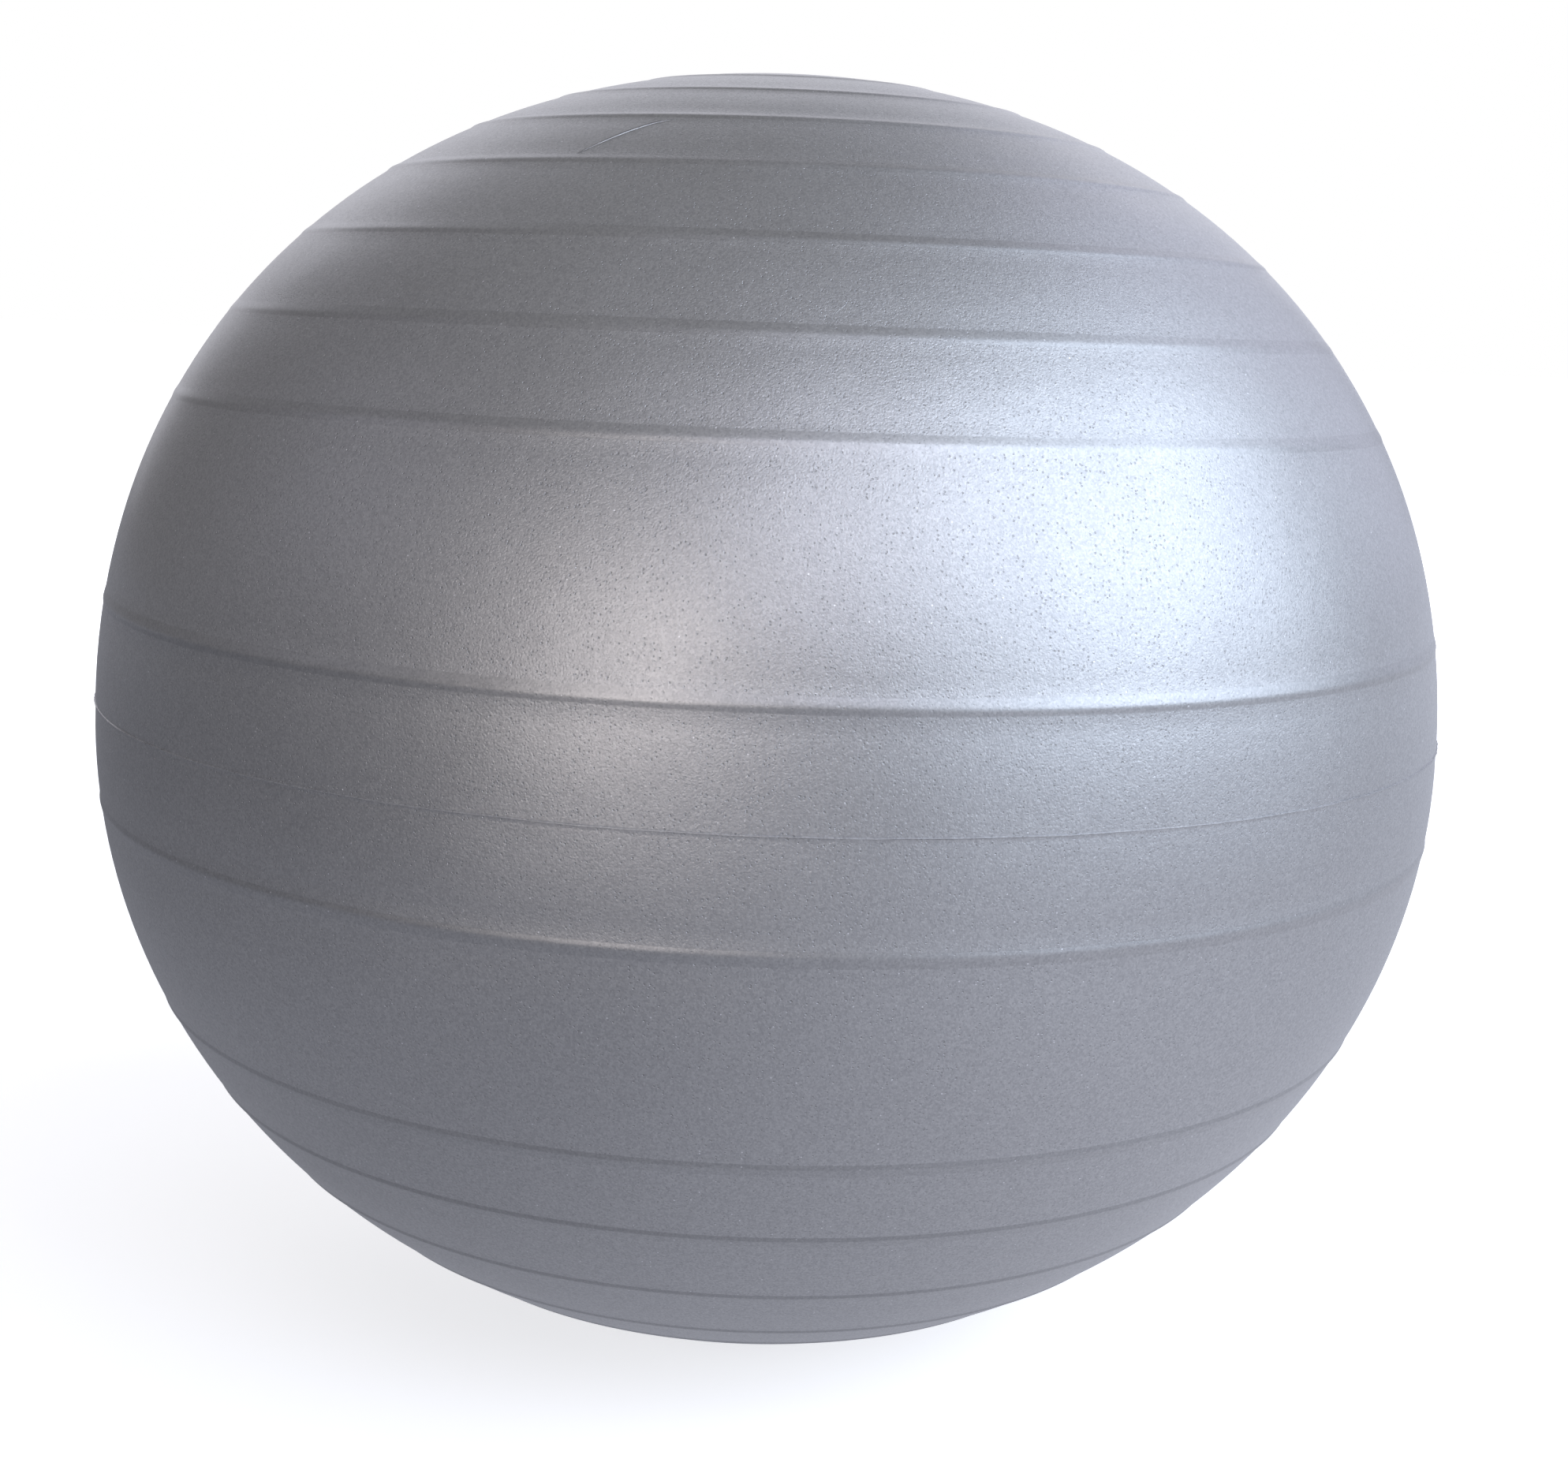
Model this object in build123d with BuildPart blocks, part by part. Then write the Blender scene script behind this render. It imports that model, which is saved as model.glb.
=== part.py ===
from build123d import *

import os
from math import acos, cos, degrees, radians, sin

# Inflatable exercise ball, nominally 65 cm, standing on its own flattened foot.
# Millimetres, +Z up. The origin is the centre of the flat foot, on the floor.
# The valve is on the +Y side, so the -Y side is smooth apart from its ribs.

# ---- Inflated skin -----------------------------------------------------------------------------
# The section is a superellipse above the widest plane and an ellipse below it. A place on it is
# given by its angle: 0 in the widest plane, 90 at the top pole, negative underneath.
widest_radius = 330.0
crown_height = 317.0  # widest plane up to the top pole
crown_power = 2.12
keel_depth = 305.5  # widest plane down to where the ellipse would end without the flat foot
keel_power = 2.0
wall = 0.8
foot_radius = 60.0  # flat patch that the ball's own weight presses against the floor

# ---- Moulded relief ----------------------------------------------------------------------------
# The two mould halves part just above the widest plane, and leave a thin fin of flash along that
# line. Both halves carry the same eight ribs, which lie a little differently in the lower half
# because the ball's weight flattens it. The angles are those of the ridges away from the line.
parting_angle = 2.1
flash_width = 2.0
flash_height = 1.0
ridges_above = (8.1, 26.4, 35.2, 44.3, 53.6, 61.6, 69.3, 76.6)
ridges_below = (8.3, 26.8, 35.4, 44.9, 54.5, 61.4, 69.3, 76.6)
rib_near = 2.8  # ridge to the foot on the parting line's side, which is the steeper one
rib_far = 4.6  # ridge to the foot on the pole's side
rib_height = 0.8
inner_relief = 0.5  # share of each rib's height that shows as a groove on the inside

# ---- Valve -------------------------------------------------------------------------------------
# It sits in the middle of the wide smooth band between the first two ribs of the upper half.
valve_angle = parting_angle + (ridges_above[0] + ridges_above[1]) / 2
neck_radius = 14.0
flange_radius = 21.0
flange_depth = 3.6  # skin surface to the inner face of the flange
boss_radius = 8.0
boss_depth = 22.0  # skin surface to the inner end of the boss
boss_round = 1.5
recess_radius = 10.0
recess_depth = 1.8
recess_chamfer = 0.8  # lip that lets a nail or a tool under the plug's head
bore_radius_mouth = 4.65
bore_radius_end = 4.35

plug_clearance = 0.05  # all round between the plug's shank and the bore
plug_head_radius = 9.5
plug_head_thickness = 2.0
plug_head_round = 0.7
plug_dimple_sphere = 12.0  # radius of the sphere that hollows the head's face
plug_dimple_depth = 0.6
plug_length = 18.0  # under the head
plug_tip_chamfer = 1.0
plug_groove_radius = 0.5
plug_groove_depth = 0.25
plug_groove_pitch = 4.5
plug_groove_count = 3

foot_angle = -degrees(acos(foot_radius / widest_radius))
widest_height = -keel_depth * sin(radians(foot_angle))
span_step = 4.0  # degrees between the points of a smooth span
clear_of_skin = 5.0  # how far a cutter starts outside the skin


def skin_normal(angle):
    """Outward direction of the skin, as (radius, height)."""
    rise, power = (crown_height, crown_power) if angle >= 0 else (-keel_depth, keel_power)
    across = cos(radians(angle)) ** (2 / power)
    up = abs(sin(radians(angle))) ** (2 / power)
    return Vector(across ** (power - 1) / widest_radius, up ** (power - 1) / rise).normalized()


def skin_point(angle, proud=0.0):
    """Place on the skin's section, as (radius, height), or that far outside it."""
    rise, power = (crown_height, crown_power) if angle >= 0 else (-keel_depth, keel_power)
    across = widest_radius * cos(radians(angle)) ** (2 / power)
    up = rise * abs(sin(radians(angle))) ** (2 / power)
    return Vector(across, widest_height + up) + skin_normal(angle) * proud


def skin_direction(angle):
    """Direction along the section, towards the crown, as (radius, height)."""
    normal = skin_normal(angle)
    return Vector(-normal.Y, normal.X)


def ring_at(ridge, below, above, height):
    """One raised ring, as (lower foot's angle, ridge's angle, upper foot's angle, height)."""
    return (
        ridge - degrees(below / widest_radius),
        ridge,
        ridge + degrees(above / widest_radius),
        height,
    )


def smooth_span(start, end, proud):
    """Line along the section from one angle to another."""
    count = max(2, round((end - start) / span_step))
    angles = [start + (end - start) * i / count for i in range(count + 1)]
    points = [skin_point(angle, proud) for angle in angles]
    Spline(*points, tangents=(skin_direction(start), skin_direction(end)))


def section_line(rings, proud, relief):
    """The whole section from foot to crown, its rings at a share of their full height."""
    reached = foot_angle
    for low, ridge, high, height in sorted(rings):
        smooth_span(reached, low, proud)
        crest = skin_point(ridge, proud + relief * height)
        Polyline(skin_point(low, proud), crest, skin_point(high, proud))
        reached = high
    smooth_span(reached, 90.0, proud)


upper_ribs = [ring_at(parting_angle + angle, rib_near, rib_far, rib_height) for angle in ridges_above]
lower_ribs = [ring_at(parting_angle - angle, rib_far, rib_near, rib_height) for angle in ridges_below]
ribs = lower_ribs + upper_ribs
flash = ring_at(parting_angle, flash_width / 2, flash_width / 2, flash_height)

# Everything inside the skin's outer surface.
with BuildPart() as envelope:
    with BuildSketch(Plane.XZ):
        with BuildLine():
            Line((0, 0), skin_point(foot_angle))
            section_line(ribs + [flash], 0.0, 1.0)
            Line(skin_point(90.0), (0, 0))
        make_face()
    revolve(axis=Axis.Z)

# The air space.
with BuildPart() as cavity:
    with BuildSketch(Plane.XZ):
        with BuildLine():
            inner_foot = skin_point(foot_angle, -wall)
            Line((0, inner_foot.Y), inner_foot)
            section_line(ribs, -wall, inner_relief)
            Line(skin_point(90.0, -wall), (0, inner_foot.Y))
        make_face()
    revolve(axis=Axis.Z)

# Planes of the valve: one faces straight out of the skin, the others hold its round sections.
valve_place = skin_point(valve_angle)
valve_out = skin_normal(valve_angle)
valve_face = Plane(
    origin=(0, valve_place.X, valve_place.Y),
    x_dir=(1, 0, 0),
    z_dir=(0, valve_out.X, valve_out.Y),
)
valve_axis = Axis(valve_face.origin, valve_face.z_dir)
seat_floor = valve_face.offset(-recess_depth)


def section_of(face):
    """Plane through the valve's axis: local x is the radius, local y points out of the skin."""
    return Plane(face.origin, x_dir=face.x_dir, z_dir=-face.y_dir)


# ---- ball_shell: the one-piece moulded skin --------------------------------------------------
with BuildPart() as ball_shell:
    add(envelope.part)
    add(cavity.part, mode=Mode.SUBTRACT)
    with BuildSketch(valve_face.offset(clear_of_skin)):
        Circle(neck_radius)
    extrude(amount=-2 * clear_of_skin, mode=Mode.SUBTRACT)

ball_shell.part.label = "ball_shell"

# ---- valve_seat: flange behind the skin, neck through it, boss and tapered bore ----------------
with BuildPart() as flange:
    with BuildSketch(valve_face):
        Circle(flange_radius)
    extrude(amount=-flange_depth)
    add(cavity.part, mode=Mode.INTERSECT)

with BuildPart() as valve_seat:
    with BuildSketch(valve_face.offset(clear_of_skin)):
        Circle(neck_radius)
    extrude(amount=-clear_of_skin - flange_depth)
    add(envelope.part, mode=Mode.INTERSECT)
    add(flange.part)
    with BuildSketch(valve_face.offset(-flange_depth)):
        Circle(boss_radius)
    extrude(amount=flange_depth - boss_depth)
    fillet(valve_seat.edges().sort_by(valve_axis)[0], boss_round)
    with BuildSketch(section_of(valve_face)):
        with BuildLine():
            Polyline(
                (0, clear_of_skin),
                (recess_radius + recess_chamfer + clear_of_skin, clear_of_skin),
                (recess_radius, -recess_chamfer),
                (recess_radius, -recess_depth),
                (bore_radius_mouth, -recess_depth),
                (bore_radius_end, -boss_depth),
                (0, -boss_depth),
                (0, clear_of_skin),
            )
        make_face()
    revolve(axis=valve_axis, mode=Mode.SUBTRACT)

valve_seat.part.label = "valve_seat"

# ---- valve_plug: dished head and tapered, grooved shank ----------------------------------------
plug_taper = (bore_radius_mouth - bore_radius_end) / (boss_depth - recess_depth)


def shank_radius(depth):
    """Radius of the plug's tapered shank at a depth under its head."""
    return bore_radius_mouth - plug_clearance - plug_taper * depth


with BuildPart() as valve_plug:
    with BuildSketch(section_of(seat_floor)):
        with BuildLine():
            Polyline(
                (0, plug_head_thickness),
                (plug_head_radius, plug_head_thickness),
                (plug_head_radius, 0),
                (shank_radius(0), 0),
                (shank_radius(plug_length - plug_tip_chamfer), plug_tip_chamfer - plug_length),
                (shank_radius(plug_length) - plug_tip_chamfer, -plug_length),
                (0, -plug_length),
                (0, plug_head_thickness),
            )
        make_face()
        for i in range(1, plug_groove_count + 1):
            depth = i * plug_groove_pitch
            with Locations((shank_radius(depth) - plug_groove_depth + plug_groove_radius, -depth)):
                Circle(plug_groove_radius, mode=Mode.SUBTRACT)
    revolve(axis=valve_axis)
    fillet(valve_plug.edges().sort_by(valve_axis)[-1], plug_head_round)
    with Locations(seat_floor.offset(plug_head_thickness - plug_dimple_depth + plug_dimple_sphere)):
        Sphere(plug_dimple_sphere, mode=Mode.SUBTRACT)

valve_plug.part.label = "valve_plug"

os.makedirs("parts", exist_ok=True)
export_step(ball_shell.part, "parts/ball_shell.step")
export_step(valve_seat.part, "parts/valve_seat.step")
export_step(valve_plug.part, "parts/valve_plug.step")
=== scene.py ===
from math import acos, atan2, ceil, cos, degrees, pi, radians, sin, sqrt, tan

import bpy
import numpy as np
from mathutils import Matrix, Vector


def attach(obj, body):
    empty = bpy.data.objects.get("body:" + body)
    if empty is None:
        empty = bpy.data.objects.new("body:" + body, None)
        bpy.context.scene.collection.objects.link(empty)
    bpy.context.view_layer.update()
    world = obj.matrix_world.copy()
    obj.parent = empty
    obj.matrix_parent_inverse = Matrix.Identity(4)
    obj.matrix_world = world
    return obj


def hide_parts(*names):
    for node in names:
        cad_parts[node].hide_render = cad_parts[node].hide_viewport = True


# Inflatable exercise ball: silver-grey PVC skin with moulded ribs, a valve and its plug.
# Metres, +Z up, the origin at the centre of the flat foot. The valve is on the +Y side.

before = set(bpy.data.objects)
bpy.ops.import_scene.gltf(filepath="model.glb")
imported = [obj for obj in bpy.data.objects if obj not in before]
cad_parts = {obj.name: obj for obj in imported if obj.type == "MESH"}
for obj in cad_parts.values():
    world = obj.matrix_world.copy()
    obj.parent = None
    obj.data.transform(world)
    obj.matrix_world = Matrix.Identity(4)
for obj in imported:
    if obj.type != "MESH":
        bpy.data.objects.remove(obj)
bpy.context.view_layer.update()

# ---- The skin's shape, as the CAD model has it ---------------------------------------------------
WIDEST_RADIUS = 0.330
CROWN = (0.317, 2.12)  # rise from the widest plane, and power of the superellipse
KEEL = (0.3055, 2.0)
WALL = 0.0008
FOOT_RADIUS = 0.060
FOOT_ANGLE = -degrees(acos(FOOT_RADIUS / WIDEST_RADIUS))
WIDEST_HEIGHT = -KEEL[0] * sin(radians(FOOT_ANGLE))

PARTING_ANGLE = 2.1
RIDGES_ABOVE = (8.1, 26.4, 35.2, 44.3, 53.6, 61.6, 69.3, 76.6)
RIDGES_BELOW = (8.3, 26.8, 35.4, 44.9, 54.5, 61.4, 69.3, 76.6)
RIDGES = sorted([PARTING_ANGLE + a for a in RIDGES_ABOVE] + [PARTING_ANGLE - a for a in RIDGES_BELOW])
FAINT_RIBS = {26.4: 0.65, 35.2: 0.4, 44.3: 0.7}  # upper ribs that stand out less, and their share
RIB_NEAR = 0.0028  # ridge to the foot on the parting line's side, which is the steeper one
RIB_FAR = 0.0046  # ridge to the foot on the pole's side
RIB_HEIGHT = 0.0005
RIDGE_ROUND = 0.2  # share of each flank over which the ridge is rounded
STEP_DEPTH = 0.00018  # the lower mould half sits that much further in at the parting line
STEP_RUN = 0.0012
STEP_FADE = 0.012
INNER_RELIEF = 0.5

FLASH_FOOT = 0.0009  # width of the fin at the skin
FLASH_EDGE = 0.0003  # width of its outer edge
FLASH_HEIGHTS = (0.0001, 0.0012)
FLASH_STRAY = 0.0002  # how far it wanders from a true circle
SUNK = 0.0003  # how deep anything laid on the skin is let into it

VALVE_ANGLE = PARTING_ANGLE + (RIDGES_ABOVE[0] + RIDGES_ABOVE[1]) / 2
NECK_RADIUS = 0.014

# ---- Mesh steps ----------------------------------------------------------------------------------
COLUMNS = 288  # round the outer skin, 1.25 degrees each
RIB_STEPS = 12  # across one rib
SPAN_STEP = 1.5  # degrees, the longest row between ribs
INNER_COLUMNS = 72
INNER_RIB_STEPS = 4
INNER_SPAN_STEP = 4.0
FLASH_STEPS = 1440  # round the parting line
PATCH_HALF = 5.0  # degrees, half the side of the patch that holds the valve hole
HOLE_POINTS = 64  # a power of two times the vertices round the patch
HOLE_RINGS = ((0.5, 1.35), (0.5, 1.15), (0.0, 1.04), (0.0, 1.0))  # squareness kept, and neck radii
FOOT_RINGS = (0.8, 0.55, 0.3)  # shares of the foot's radius
MARK_POINTS = 24


def half_and_power(angle):
    return CROWN if angle >= 0 else (-KEEL[0], KEEL[1])


def section(angle):
    """Place on the skin's section, as (radius, height)."""
    rise, power = half_and_power(angle)
    across = WIDEST_RADIUS * cos(radians(angle)) ** (2 / power)
    return np.array((across, WIDEST_HEIGHT + rise * abs(sin(radians(angle))) ** (2 / power)))


def section_normal(angle):
    """Outward direction of the skin there, as (radius, height)."""
    rise, power = half_and_power(angle)
    across = cos(radians(angle)) ** (2 - 2 / power)
    up = abs(sin(radians(angle))) ** (2 - 2 / power)
    normal = np.array((across / WIDEST_RADIUS, up / rise))
    return normal / np.linalg.norm(normal)


def rib_feet(ridge):
    """Angles of the lower and the upper foot of a rib."""
    near, far = degrees(RIB_NEAR / WIDEST_RADIUS), degrees(RIB_FAR / WIDEST_RADIUS)
    return (ridge - near, ridge + far) if ridge > PARTING_ANGLE else (ridge - far, ridge + near)


def nearest_ridge(angle):
    return min(RIDGES, key=lambda ridge: abs(angle - ridge))


def across_rib(angle):
    """0 on the nearest rib's ridge, 1 at its foot and beyond."""
    ridge = nearest_ridge(angle)
    low, high = rib_feet(ridge)
    return min(1.0, (angle - ridge) / ((high if angle > ridge else low) - ridge))


def flank(angle):
    """0 off the ribs, 1 on the flank that faces the pole, 2 on the one that faces the parting line."""
    if across_rib(angle) >= 1.0:
        return 0
    ridge = nearest_ridge(angle)
    return 2 if (angle > ridge) == (ridge < PARTING_ANGLE) else 1


def ridge_curve(across):
    """Hyperbola that follows a straight flank and is rounded at the ridge."""
    return sqrt(across**2 + RIDGE_ROUND**2)


def relief(angle):
    """Height above the smooth skin: ribs with two flat flanks, and the step at the parting line."""
    foot = ridge_curve(1.0)
    rib = (foot - ridge_curve(across_rib(angle))) / (foot - ridge_curve(0.0))
    below = radians(PARTING_ANGLE - angle) * WIDEST_RADIUS
    step = max(0.0, min(below / STEP_RUN, 1.0, (STEP_FADE - below) / (STEP_FADE - STEP_RUN)))
    share = FAINT_RIBS.get(round(nearest_ridge(angle) - PARTING_ANGLE, 1), 1.0)
    return RIB_HEIGHT * share * rib - STEP_DEPTH * step


def on_skin(angle, azimuth, lift=0.0):
    """Point of the skin. Azimuth 0 is the valve's side, +Y, and 90 is +X."""
    radius, height = section(angle) + section_normal(angle) * lift
    return Vector((radius * sin(radians(azimuth)), radius * cos(radians(azimuth)), height))


def skin_axes(angle, azimuth):
    """Matrix whose axes are across, up the skin and out of it, with its origin on the skin."""
    radial, up = section_normal(angle)
    out = Vector((radial * sin(radians(azimuth)), radial * cos(radians(azimuth)), up))
    across = Vector((-cos(radians(azimuth)), sin(radians(azimuth)), 0))
    along = out.cross(across)
    axes = Matrix((across, along, out)).transposed().to_4x4()
    axes.translation = on_skin(angle, azimuth)
    return axes


valve_axes = skin_axes(VALVE_ANGLE, 0)


def drop_to_skin(point, lift):
    """Moves a point along the valve's axis until it lies on the skin, or that far off it."""
    out = valve_axes.to_3x3().col[2]
    rise, power = CROWN
    for _ in range(8):
        radius = sqrt(point.x**2 + point.y**2)
        up = point.z - WIDEST_HEIGHT
        level = (radius / WIDEST_RADIUS) ** power + (up / rise) ** power - 1
        radial_slope = power * (radius / WIDEST_RADIUS) ** (power - 1) / WIDEST_RADIUS / radius
        vertical_slope = power * (up / rise) ** (power - 1) / rise
        slope = Vector((radial_slope * point.x, radial_slope * point.y, vertical_slope))
        point = point - out * (level / slope.dot(out))
    return point + out * lift


# ---- Mesh helpers --------------------------------------------------------------------------------
def make_object(name, points, faces, smooth=True):
    mesh = bpy.data.meshes.new(name)
    mesh.from_pydata([tuple(p) for p in points], [], faces)
    mesh.validate()
    mesh.update()
    mesh.polygons.foreach_set("use_smooth", [smooth] * len(mesh.polygons))
    made = bpy.data.objects.new(name, mesh)
    bpy.context.scene.collection.objects.link(made)
    return made


def between(start, end, step):
    """Even values from start to end, ends included, no further apart than step."""
    count = max(1, ceil(abs(end - start) / step - 1e-9))
    return [start + (end - start) * i / count for i in range(count + 1)]


def skin_rows(rib_steps, step, columns):
    """Angles of the rows of a sheet of skin, fine across each rib and square across the valve's patch."""
    stops = []
    for low, high in map(rib_feet, RIDGES):
        stops.append((low, high, (high - low) / rib_steps))
    step_run = degrees(STEP_RUN / WIDEST_RADIUS)
    stops.append((PARTING_ANGLE - 2 * step_run, PARTING_ANGLE + step_run, step_run / 2))
    stops.append((VALVE_ANGLE - PATCH_HALF, VALVE_ANGLE + PATCH_HALF, 360 / columns))
    rows = [FOOT_ANGLE]
    for low, high, fine in sorted(stops):
        rows += between(rows[-1], low, step)[1:]
        rows += between(low, high, fine)[1:]
    return rows + between(rows[-1], 90.0, step)[1:-1]


def ring_faces(low, high):
    """Quads between two closed rings of vertex numbers."""
    count = len(low)
    return [(low[i], low[(i + 1) % count], high[(i + 1) % count], high[i]) for i in range(count)]


def doubling_faces(coarse, fine):
    """Triangles between a ring and one with twice as many vertices."""
    faces = []
    count = len(coarse)
    for i in range(count):
        a, b = coarse[i], coarse[(i + 1) % count]
        first, middle, last = (fine[(2 * i + k) % (2 * count)] for k in range(3))
        faces += [(a, middle, first), (a, b, middle), (b, last, middle)]
    return faces


def skin_sheet(points, columns, rows, share, lift):
    """Adds one sheet of skin with the valve's hole in it. Returns its faces and the ring round the hole."""
    first = len(points)
    azimuths = [360.0 * j / columns for j in range(columns)]
    for angle in rows:
        radial, height = section(angle) + section_normal(angle) * (lift + share * relief(angle))
        points += [(radial * sin(radians(a)), radial * cos(radians(a)), height) for a in azimuths]

    def number(i, j):
        return first + i * columns + j % columns

    patch_low = min(range(len(rows)), key=lambda i: abs(rows[i] - VALVE_ANGLE + PATCH_HALF))
    patch_high = min(range(len(rows)), key=lambda i: abs(rows[i] - VALVE_ANGLE - PATCH_HALF))
    reach = round(PATCH_HALF * columns / 360)
    faces = []
    for i in range(len(rows) - 1):
        for j in range(columns):
            in_patch = patch_low <= i < patch_high and (j < reach or j >= columns - reach)
            if not in_patch:
                faces.append((number(i, j), number(i + 1, j), number(i + 1, j + 1), number(i, j + 1)))
    crown = len(points)
    points.append((0, 0, section(90.0)[1] + lift))
    top = len(rows) - 1
    faces += [(number(top, j), crown, number(top, j + 1)) for j in range(columns)]
    faces += foot_faces(points, [number(0, j) for j in range(columns)])
    border = [number(patch_low, -j) for j in range(-reach, reach)]
    border += [number(i, -reach) for i in range(patch_low, patch_high)]
    border += [number(patch_high, j) for j in range(-reach, reach)]
    border += [number(i, reach) for i in range(patch_high, patch_low, -1)]
    hole_faces, hole = hole_patch(points, border, lift)
    return faces + hole_faces, hole


def foot_faces(points, rim):
    """Flat disc that closes a sheet at the floor."""
    faces = []
    outer = rim
    for share in FOOT_RINGS:
        inner = [len(points) + k for k in range(len(rim))]
        points += [(points[k][0] * share, points[k][1] * share, points[k][2]) for k in rim]
        faces += ring_faces(outer, inner)
        outer = inner
    centre = len(points)
    points.append((0, 0, points[rim[0]][2]))
    faces += [(outer[i], outer[(i + 1) % len(outer)], centre) for i in range(len(outer))]
    return faces


def hole_patch(points, border, lift):
    """Faces from the square border of the valve's patch in to the round hole."""
    into_valve = valve_axes.inverted()
    local = [into_valve @ Vector(points[k]) for k in border]
    bearing = [atan2(p.y, p.x) for p in local]
    reach = [sqrt(p.x**2 + p.y**2) for p in local]
    faces = []
    outer = border
    while len(outer) < HOLE_POINTS:
        count = 2 * len(outer)
        bearing, reach = doubled(bearing, reach)
        reach = [(r + NECK_RADIUS * HOLE_RINGS[0][1]) / 2 for r in reach]
        inner = add_ring(points, bearing, reach, lift)
        faces += doubling_faces(outer, inner)
        outer = inner
    for share, edge in HOLE_RINGS:
        even = [bearing[0] + 2 * pi * k / len(outer) for k in range(len(outer))]
        bearing = [b + (e - b) * 0.5 for b, e in zip(unwound(bearing), even)]
        reach = [r * share + NECK_RADIUS * edge * (1 - share) for r in reach]
        inner = add_ring(points, bearing, reach, lift)
        faces += ring_faces(outer, inner)
        outer = inner
    return faces, outer


def unwound(bearing):
    """Bearings that keep rising past a full turn."""
    return list(np.unwrap(bearing))


def doubled(bearing, reach):
    """Adds a bearing and a reach half-way between each pair."""
    turns = unwound(bearing + [bearing[0]])
    reaches = reach + [reach[0]]
    bearings, spans = [], []
    for k in range(len(bearing)):
        bearings += [turns[k], (turns[k] + turns[k + 1]) / 2]
        spans += [reaches[k], (reaches[k] + reaches[k + 1]) / 2]
    return bearings, spans


def add_ring(points, bearing, reach, lift):
    """Adds points on the skin round the valve's axis and returns their numbers."""
    numbers = []
    for b, r in zip(bearing, reach):
        numbers.append(len(points))
        points.append(tuple(drop_to_skin(valve_axes @ Vector((r * cos(b), r * sin(b), 0)), lift)))
    return numbers


# ---- The skin ------------------------------------------------------------------------------------
def angle_of(point):
    """Angle of a point of the outer skin."""
    rise, power = CROWN if point.z > WIDEST_HEIGHT else KEEL
    up = (abs(point.z - WIDEST_HEIGHT) / rise) ** (power / 2)
    out = (point.xy.length / WIDEST_RADIUS) ** (power / 2)
    return degrees(atan2(up, out)) * (1 if point.z > WIDEST_HEIGHT else -1)


def make_skin(materials):
    """Closed double-walled skin. The materials are those of the skin and of a rib's two flanks."""
    points = []
    outer_rows = skin_rows(RIB_STEPS, SPAN_STEP, COLUMNS)
    faces, outer_hole = skin_sheet(points, COLUMNS, outer_rows, 1.0, 0.0)
    inner_rows = skin_rows(INNER_RIB_STEPS, INNER_SPAN_STEP, INNER_COLUMNS)
    inner_faces, inner_hole = skin_sheet(points, INNER_COLUMNS, inner_rows, INNER_RELIEF, -WALL)
    faces += [tuple(reversed(face)) for face in inner_faces]
    faces += ring_faces(outer_hole, inner_hole)
    skin = make_object("ball_skin", points, faces)
    for material in materials:
        skin.data.materials.append(material)
    for face in skin.data.polygons:
        face.material_index = flank(angle_of(face.center))
    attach(skin, "ball")
    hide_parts("ball_shell")


def wander(random, count, reach):
    """Random values round a ring, each smoothed over its neighbours, from 0 to 1."""
    raw = random.random(count)
    smooth = sum(np.roll(raw, k) for k in range(-reach, reach + 1))
    return (smooth - smooth.min()) / (smooth.max() - smooth.min())


def make_flash(material):
    """The thin uneven fin of PVC that was squeezed out where the mould halves met."""
    random = np.random.default_rng(11)
    low, high = FLASH_HEIGHTS
    uneven = wander(random, FLASH_STEPS, 14) * (0.4 + 0.6 * wander(random, FLASH_STEPS, 1))
    heights = low + (high - low) * uneven
    strays = FLASH_STRAY * (2 * wander(random, FLASH_STEPS, 8) - 1)
    points, rings = [], []
    corners = ((-FLASH_FOOT / 2, 0), (-FLASH_EDGE / 2, 1), (FLASH_EDGE / 2, 1), (FLASH_FOOT / 2, 0))
    for offset, raised in corners:
        rings.append([len(points) + k for k in range(FLASH_STEPS)])
        for k in range(FLASH_STEPS):
            angle = PARTING_ANGLE + degrees((offset + strays[k] * raised) / WIDEST_RADIUS)
            lift = heights[k] if raised else -SUNK
            points.append(on_skin(angle, 360.0 * k / FLASH_STEPS, lift))
    faces = [face for k in range(4) for face in ring_faces(rings[(k + 1) % 4], rings[k])]
    flash = make_object("parting_flash", points, faces, smooth=False)
    flash.data.materials.append(material)
    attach(flash, "ball")


def make_mark(name, path, width, height, material):
    """A fine raised line in the skin, with three sides that taper to nothing at both ends."""
    points, faces = [on_skin(*path[0], -SUNK)], []
    for k in range(1, len(path) - 1):
        swell = sqrt(sin(pi * k / (len(path) - 1)))
        place = on_skin(*path[k])
        out = skin_axes(*path[k]).to_3x3().col[2]
        along = on_skin(*path[k + 1]) - on_skin(*path[k - 1])
        side = along.cross(out).normalized() * width / 2 * swell
        points += [place - side - out * SUNK, place + out * height * swell, place + side - out * SUNK]
    points.append(on_skin(*path[-1], -SUNK))
    last = len(points) - 1
    for k in range(3):
        n = (k + 1) % 3
        faces += [(0, 1 + n, 1 + k), (last, last - 3 + k, last - 3 + n)]
        for start in range(1, last - 3, 3):
            faces.append((start + k, start + n, start + 3 + n, start + 3 + k))
    mark = make_object(name, points, faces)
    mark.data.materials.append(material)
    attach(mark, "ball")


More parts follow.
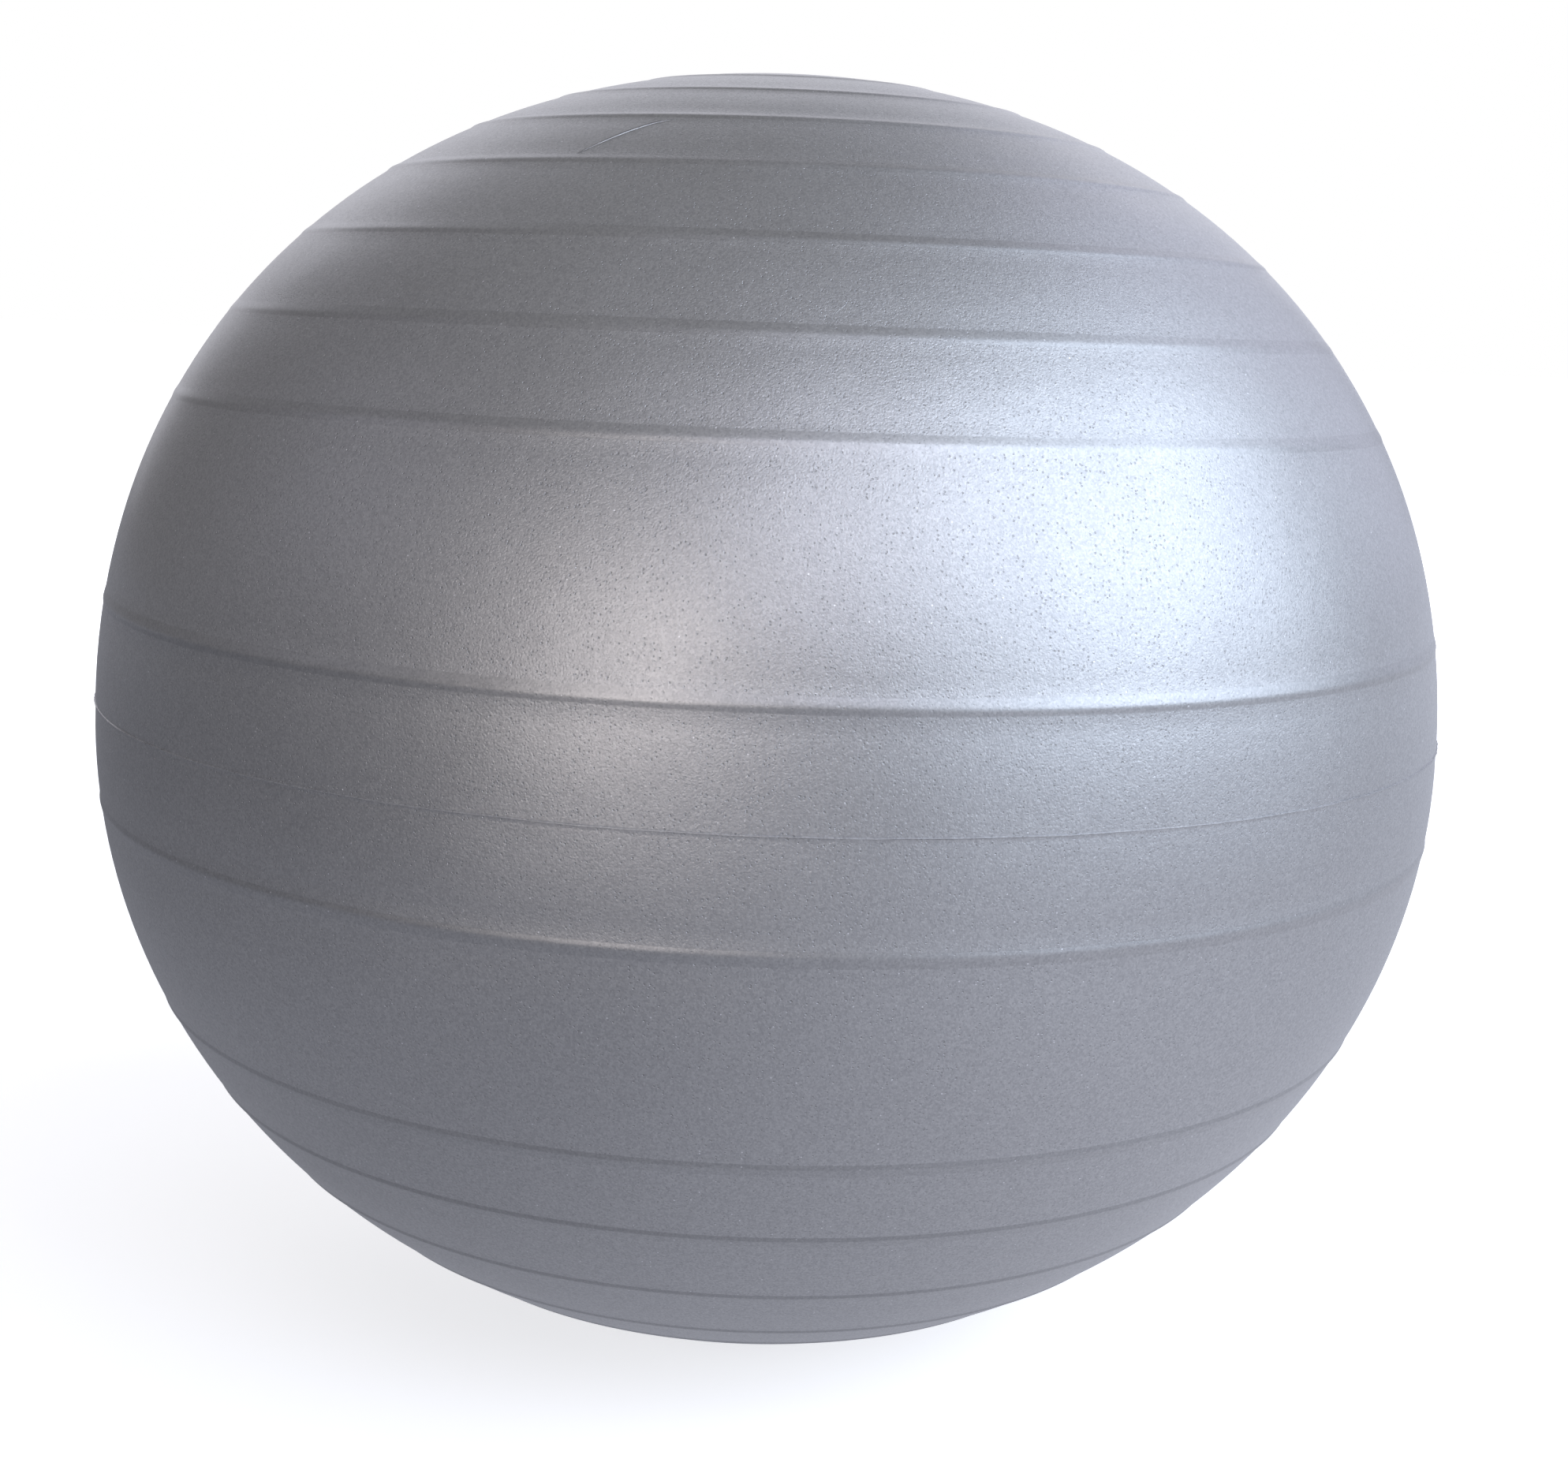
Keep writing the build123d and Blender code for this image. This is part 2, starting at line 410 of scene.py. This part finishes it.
def make_marks(material):
    """Two faint lines that the mould left on the side away from the valve."""
    steps = [k / MARK_POINTS for k in range(MARK_POINTS + 1)]
    arc = [(56.2 + 6.6 * (1 - (1 - u) ** 1.7), 208.5 - 10.5 * u) for u in steps]
    make_mark("mould_mark_arc", arc, 0.0020, 0.00045, material)
    curl = [(38.0 + 3.2 * u, 175.0 + 0.6 * sin(2 * pi * u)) for u in steps]
    make_mark("mould_mark_curl", curl, 0.0009, 0.00012, material)


# ---- Materials -----------------------------------------------------------------------------------
SILVER_DARK = (0.43, 0.43, 0.445)
SILVER_PALE = (0.59, 0.59, 0.60)
# Specks are small pits whose darker colour is painted shade; flecks are flakes whose paleness is a painted
# glint.
SPECK_COLOUR = (0.41, 0.41, 0.42, 1)
FLECK_COLOUR = (0.85, 0.85, 0.88, 1)
# Colour and heights of the painted shade on the ribs' steeper flanks, darker towards the floor.
FLOOR_SHADE_COLOUR = (0.26, 0.26, 0.27, 1)
FLOOR_SHADE_HEIGHTS = (0.14, 0.24)  # full below the first, none above the second
COAT = 0.25
COAT_ROUGHNESS = 0.25
CLOUDING = 0.03  # how far the roughness drifts either way
SLACK_DEPTH = 0.0005
# How many of each there are to a metre.
FLAKES, SPECKS, FLECKS, PEBBLES, PITS, CLOUDS, SLACKS = 1200, 520, 300, 1000, 850, 12, 22
PLASTIC_DARK = (0.78, 0.78, 0.75, 1)
PLASTIC_PALE = (0.86, 0.86, 0.84, 1)
PLASTIC_CLOUDS, PLASTIC_SMEARS, PLASTIC_GRAIN = 150, 300, 1500


def new_material(name):
    material = bpy.data.materials.new(name)
    material.use_nodes = True
    return material, material.node_tree.nodes, material.node_tree.links


def noise(nodes, links, place, scale, detail):
    made = nodes.new("ShaderNodeTexNoise")
    made.inputs["Scale"].default_value = scale
    made.inputs["Detail"].default_value = detail
    links.new(place, made.inputs["Vector"])
    return made.outputs["Fac"]


def voronoi(nodes, links, place, scale):
    made = nodes.new("ShaderNodeTexVoronoi")
    made.inputs["Scale"].default_value = scale
    links.new(place, made.inputs["Vector"])
    return made


def spread(nodes, links, value, low, high, middle=(0.3, 0.7)):
    """Maps a texture's middle range onto low to high."""
    made = nodes.new("ShaderNodeMapRange")
    made.inputs["From Min"].default_value = middle[0]
    made.inputs["From Max"].default_value = middle[1]
    made.inputs["To Min"].default_value = low
    made.inputs["To Max"].default_value = high
    links.new(value, made.inputs["Value"])
    return made.outputs["Result"]


def combine(nodes, links, operation, first, second):
    made = nodes.new("ShaderNodeMath")
    made.operation = operation
    links.new(first, made.inputs[0])
    links.new(second, made.inputs[1])
    return made.outputs["Value"]


def mixed_in(nodes, links, colour, share, tint):
    """A colour with some of a plain tint laid over it."""
    made = nodes.new("ShaderNodeMix")
    made.data_type = "RGBA"
    made.inputs["B"].default_value = tint
    links.new(colour, made.inputs["A"])
    links.new(share, made.inputs["Factor"])
    return made.outputs["Result"]


def bump(nodes, links, height, distance, below=None):
    made = nodes.new("ShaderNodeBump")
    made.inputs["Distance"].default_value = distance
    links.new(height, made.inputs["Height"])
    if below is not None:
        links.new(below, made.inputs["Normal"])
    return made.outputs["Normal"]


def sparse_dots(nodes, links, place, scale, radius, left_out):
    """1 in small dots, one to a cell of the pattern, with that share of the cells left empty."""
    cells = voronoi(nodes, links, place, scale)
    dot = spread(nodes, links, cells.outputs["Distance"], 1, 0, (radius * 0.7, radius))
    pick = nodes.new("ShaderNodeSeparateColor")
    links.new(cells.outputs["Color"], pick.inputs["Color"])
    kept = spread(nodes, links, pick.outputs["Red"], 0, 1, (left_out, left_out + 0.01))
    return combine(nodes, links, "MULTIPLY", dot, kept)


def silver_pvc(name, shade, roughness, grain, floor_shade=0.0, edge_gloss=1.0):
    """Silver-pigmented PVC, satin and faintly cloudy. Shade scales its colour: below 1 it is painted shade,
    above 1 a painted highlight. Grain is the depth of its fine pitting, the argument after grain darkens
    its colour near the floor with painted shade, and edge_gloss is how much of the usual shine it has where
    it is seen edge on."""
    material, nodes, links = new_material(name)
    shader = nodes["Principled BSDF"]
    place = nodes.new("ShaderNodeTexCoord").outputs["Object"]
    tone = nodes.new("ShaderNodeMix")
    tone.data_type = "RGBA"
    tone.inputs["A"].default_value = (*(part * shade for part in SILVER_DARK), 1)
    tone.inputs["B"].default_value = (*(part * shade for part in SILVER_PALE), 1)
    flakes = voronoi(nodes, links, place, FLAKES).outputs["Color"]
    links.new(flakes, tone.inputs["Factor"])
    # Pale flecks: flakes given a painted glint. Dark specks: pits darkened by painted shade.
    flecks = sparse_dots(nodes, links, place, FLECKS, 0.12, 0.88)
    specks = sparse_dots(nodes, links, place, SPECKS, 0.24, 0.55)
    silver = mixed_in(nodes, links, tone.outputs["Result"], specks, SPECK_COLOUR)
    silver = mixed_in(nodes, links, silver, flecks, FLECK_COLOUR)
    # Painted shade: the colour darkens towards the bottom, near the floor.
    if floor_shade:
        apart = nodes.new("ShaderNodeSeparateXYZ")
        links.new(place, apart.inputs["Vector"])
        shade_share = spread(nodes, links, apart.outputs["Z"], floor_shade, 0, FLOOR_SHADE_HEIGHTS)
        silver = mixed_in(nodes, links, silver, shade_share, FLOOR_SHADE_COLOUR)
    links.new(silver, shader.inputs["Base Color"])
    shader.inputs["Metallic"].default_value = 0.95
    shader.inputs["Specular Tint"].default_value = (edge_gloss, edge_gloss, edge_gloss, 1)
    shader.inputs["Coat Weight"].default_value = COAT * edge_gloss
    shader.inputs["Coat Roughness"].default_value = COAT_ROUGHNESS
    clouds = noise(nodes, links, place, CLOUDS, 3)
    drift = spread(nodes, links, clouds, roughness - CLOUDING, roughness + CLOUDING)
    links.new(drift, shader.inputs["Roughness"])
    slack = bump(nodes, links, noise(nodes, links, place, SLACKS, 2), SLACK_DEPTH)
    peel = bump(nodes, links, noise(nodes, links, place, PEBBLES, 2), grain, below=slack)
    pits = spread(nodes, links, voronoi(nodes, links, place, PITS).outputs["Distance"], 0, 1, (0, 0.4))
    pitted = bump(nodes, links, pits, grain / 2, below=peel)
    links.new(bump(nodes, links, specks, -grain, below=pitted), shader.inputs["Normal"])
    return material


def white_plastic():
    """Satin white polyethylene of the plug."""
    material, nodes, links = new_material("white_plastic")
    shader = nodes["Principled BSDF"]
    place = nodes.new("ShaderNodeTexCoord").outputs["Object"]
    tone = nodes.new("ShaderNodeMix")
    tone.data_type = "RGBA"
    tone.inputs["A"].default_value = PLASTIC_DARK
    tone.inputs["B"].default_value = PLASTIC_PALE
    clouds = noise(nodes, links, place, PLASTIC_CLOUDS, 3)
    links.new(spread(nodes, links, clouds, 0, 1), tone.inputs["Factor"])
    links.new(tone.outputs["Result"], shader.inputs["Base Color"])
    smears = noise(nodes, links, place, PLASTIC_SMEARS, 2)
    links.new(spread(nodes, links, smears, 0.34, 0.46), shader.inputs["Roughness"])
    pores = noise(nodes, links, place, PLASTIC_GRAIN, 2)
    links.new(bump(nodes, links, pores, 0.00003), shader.inputs["Normal"])
    return material


# ---- Studio --------------------------------------------------------------------------------------
BALL_CENTRE = Vector((0, 0, WIDEST_HEIGHT))
SOFTBOX_DISTANCE = 4.0
FLOOR_HALF = 30.0


def softbox(name, azimuth, elevation, width, height, radiance, tint=(1, 1, 1)):
    """Rectangular light aimed at the ball. Azimuth 0 is the camera's side and 90 is +X.
    Width and height are the half angles that it covers as seen from the ball."""
    light = bpy.data.lights.new(name, "AREA")
    light.shape = "RECTANGLE"
    light.size = 2 * SOFTBOX_DISTANCE * tan(radians(width))
    light.size_y = 2 * SOFTBOX_DISTANCE * tan(radians(height))
    light.energy = radiance * pi * light.size * light.size_y
    light.color = tint
    lamp = bpy.data.objects.new(name, light)
    a, e = radians(azimuth), radians(elevation)
    out = Vector((sin(a) * cos(e), -cos(a) * cos(e), sin(e)))
    lamp.location = BALL_CENTRE + out * SOFTBOX_DISTANCE
    lamp.rotation_mode = "QUATERNION"
    lamp.rotation_quaternion = out.to_track_quat("Z", "Y")
    bpy.context.scene.collection.objects.link(lamp)


def make_lights():
    softbox("window_right", 64, 30, 30, 24, 2.16, (1.0, 1.15, 1.36))
    softbox("lamp_front", -21, 14, 9, 14, 3.2, (1.08, 1.0, 0.97))
    softbox("soft_front", 13, 38, 14, 13, 1.86, (1.0, 1.0, 1.14))
    softbox("soft_left", -77, 28, 14, 12, 0.25, (1.0, 1.0, 1.2))
    softbox("overhead", 0, 89, 36, 36, 0.1)
    softbox("side_back", 130, 30, 18, 28, 0.6, (0.97, 1.0, 1.25))
    softbox("backdrop_glow", 186, 22, 32, 21, 0.96, (0.98, 0.98, 1.07))


def measured(nodes, links, place, operation, direction=(0, 0, 0)):
    """Length of a place vector, or how far it reaches in a direction."""
    made = nodes.new("ShaderNodeVectorMath")
    made.operation = operation
    made.inputs[1].default_value = direction
    links.new(place, made.inputs[0])
    return made.outputs["Value"]


def camera_sees(nodes, links, output, seen, reflected):
    """One shader for the camera and another for everything else."""
    path = nodes.new("ShaderNodeLightPath")
    chosen = nodes.new("ShaderNodeMixShader")
    links.new(path.outputs["Is Camera Ray"], chosen.inputs["Fac"])
    links.new(reflected, chosen.inputs[1])
    links.new(seen, chosen.inputs[2])
    links.new(chosen.outputs["Shader"], nodes[output].inputs["Surface"])


def make_world():
    """White surroundings for the camera, dim ones for the ball to reflect."""
    world = bpy.data.worlds.new("studio")
    bpy.context.scene.world = world
    world.use_nodes = True
    nodes, links = world.node_tree.nodes, world.node_tree.links
    seen = nodes.new("ShaderNodeBackground")
    seen.inputs["Color"].default_value = (1, 1, 1, 1)
    dim = nodes["Background"]
    dim.inputs["Color"].default_value = (0.99, 0.975, 1.0, 1)
    dim.inputs["Strength"].default_value = 0.183
    camera_sees(nodes, links, "World Output", seen.outputs["Background"], dim.outputs["Background"])


def seen_floor(nodes, links, place):
    """White floor that takes a soft shadow near the ball and fades into its surroundings."""
    paint = nodes["Principled BSDF"]
    paint.inputs["Base Color"].default_value = (0.85, 0.86, 0.88, 1)
    paint.inputs["Roughness"].default_value = 0.9
    paint.inputs["Specular IOR Level"].default_value = 0.1
    # The floor's own glow is painted light: 0.6 near the ball, rising to white far off.
    lift = nodes.new("ShaderNodeEmission")
    distance = measured(nodes, links, place, "LENGTH")
    links.new(spread(nodes, links, distance, 0.6, 1.0, (0.5, 2.5)), lift.inputs["Strength"])
    seen = nodes.new("ShaderNodeAddShader")
    links.new(paint.outputs["BSDF"], seen.inputs[0])
    links.new(lift.outputs["Emission"], seen.inputs[1])
    return seen.outputs["Shader"]


def reflected_floor(nodes, links, place):
    """Grey floor in the ball's reflections, all painted light: brighter near it, on the lamp's side and far
    behind it.
    """
    reflected = nodes.new("ShaderNodeEmission")
    reflected.inputs["Color"].default_value = (0.93, 0.96, 1.09, 1)
    distance = measured(nodes, links, place, "LENGTH")
    sideways = measured(nodes, links, place, "DOT_PRODUCT", (1.0, 0.25, 0.0))
    pool = spread(nodes, links, distance, 1, 0.6, (0.4, 2.4))
    shade_side = spread(nodes, links, sideways, 0.22, 0.33, (-1.3, -0.45))
    lamp_side = spread(nodes, links, sideways, 0, 0.36, (-0.3, 0.3))
    shaded = combine(nodes, links, "MULTIPLY", shade_side, pool)
    back = measured(nodes, links, place, "DOT_PRODUCT", (0, 1, 0))
    lit = combine(nodes, links, "ADD", lamp_side, spread(nodes, links, back, 0, 0.22, (0.9, 2.2)))
    links.new(combine(nodes, links, "ADD", shaded, lit), reflected.inputs["Strength"])
    return reflected.outputs["Emission"]


def make_floor():
    """Plain pale floor, one way for the camera and another for what the ball reflects."""
    corners = [(x * FLOOR_HALF, y * FLOOR_HALF, 0) for x, y in ((-1, -1), (1, -1), (1, 1), (-1, 1))]
    floor = make_object("floor", corners, [(0, 1, 2, 3)])
    material, nodes, links = new_material("floor_white")
    place = nodes.new("ShaderNodeTexCoord").outputs["Object"]
    seen, reflected = seen_floor(nodes, links, place), reflected_floor(nodes, links, place)
    camera_sees(nodes, links, "Material Output", seen, reflected)
    floor.data.materials.append(material)


def make_camera():
    camera = bpy.data.cameras.new("camera")
    camera.sensor_width = 36.0
    camera.lens = 52.81
    holder = bpy.data.objects.new("camera", camera)
    holder.location = (0.0, -1.1606, 0.5061)
    holder.rotation_euler = (radians(79.587), radians(-2.176), radians(-0.034))
    bpy.context.scene.collection.objects.link(holder)
    bpy.context.scene.camera = holder


def clear_materials(piece, material):
    piece.data.materials.clear()
    piece.data.materials.append(material)


grained = silver_pvc("silver_pvc", 1.0, 0.48, 0.00012)
# The smooth material, on the ribs, the mould marks and the valve seat, has 0.93 of the skin's colour:
# painted shade.
smooth = silver_pvc("silver_pvc_smooth", 0.93, 0.45, 0.00004)
# The steeper flanks have 0.93 of the skin's colour too, plus painted shade that darkens towards the floor.
make_skin((grained, smooth, silver_pvc("silver_pvc_flank", 0.93, 0.45, 0.00004, floor_shade=0.35)))
# The fin's colour is 1.2 times the skin's: a painted highlight that makes the seam read pale.
make_flash(silver_pvc("silver_pvc_thin", 1.2, 0.47, 0.00003, edge_gloss=0.5))
make_marks(smooth)
clear_materials(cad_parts["valve_seat"], smooth)
clear_materials(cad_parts["valve_plug"], white_plastic())
make_lights()
make_world()
make_floor()
make_camera()
bpy.context.scene.view_settings.view_transform = "Standard"
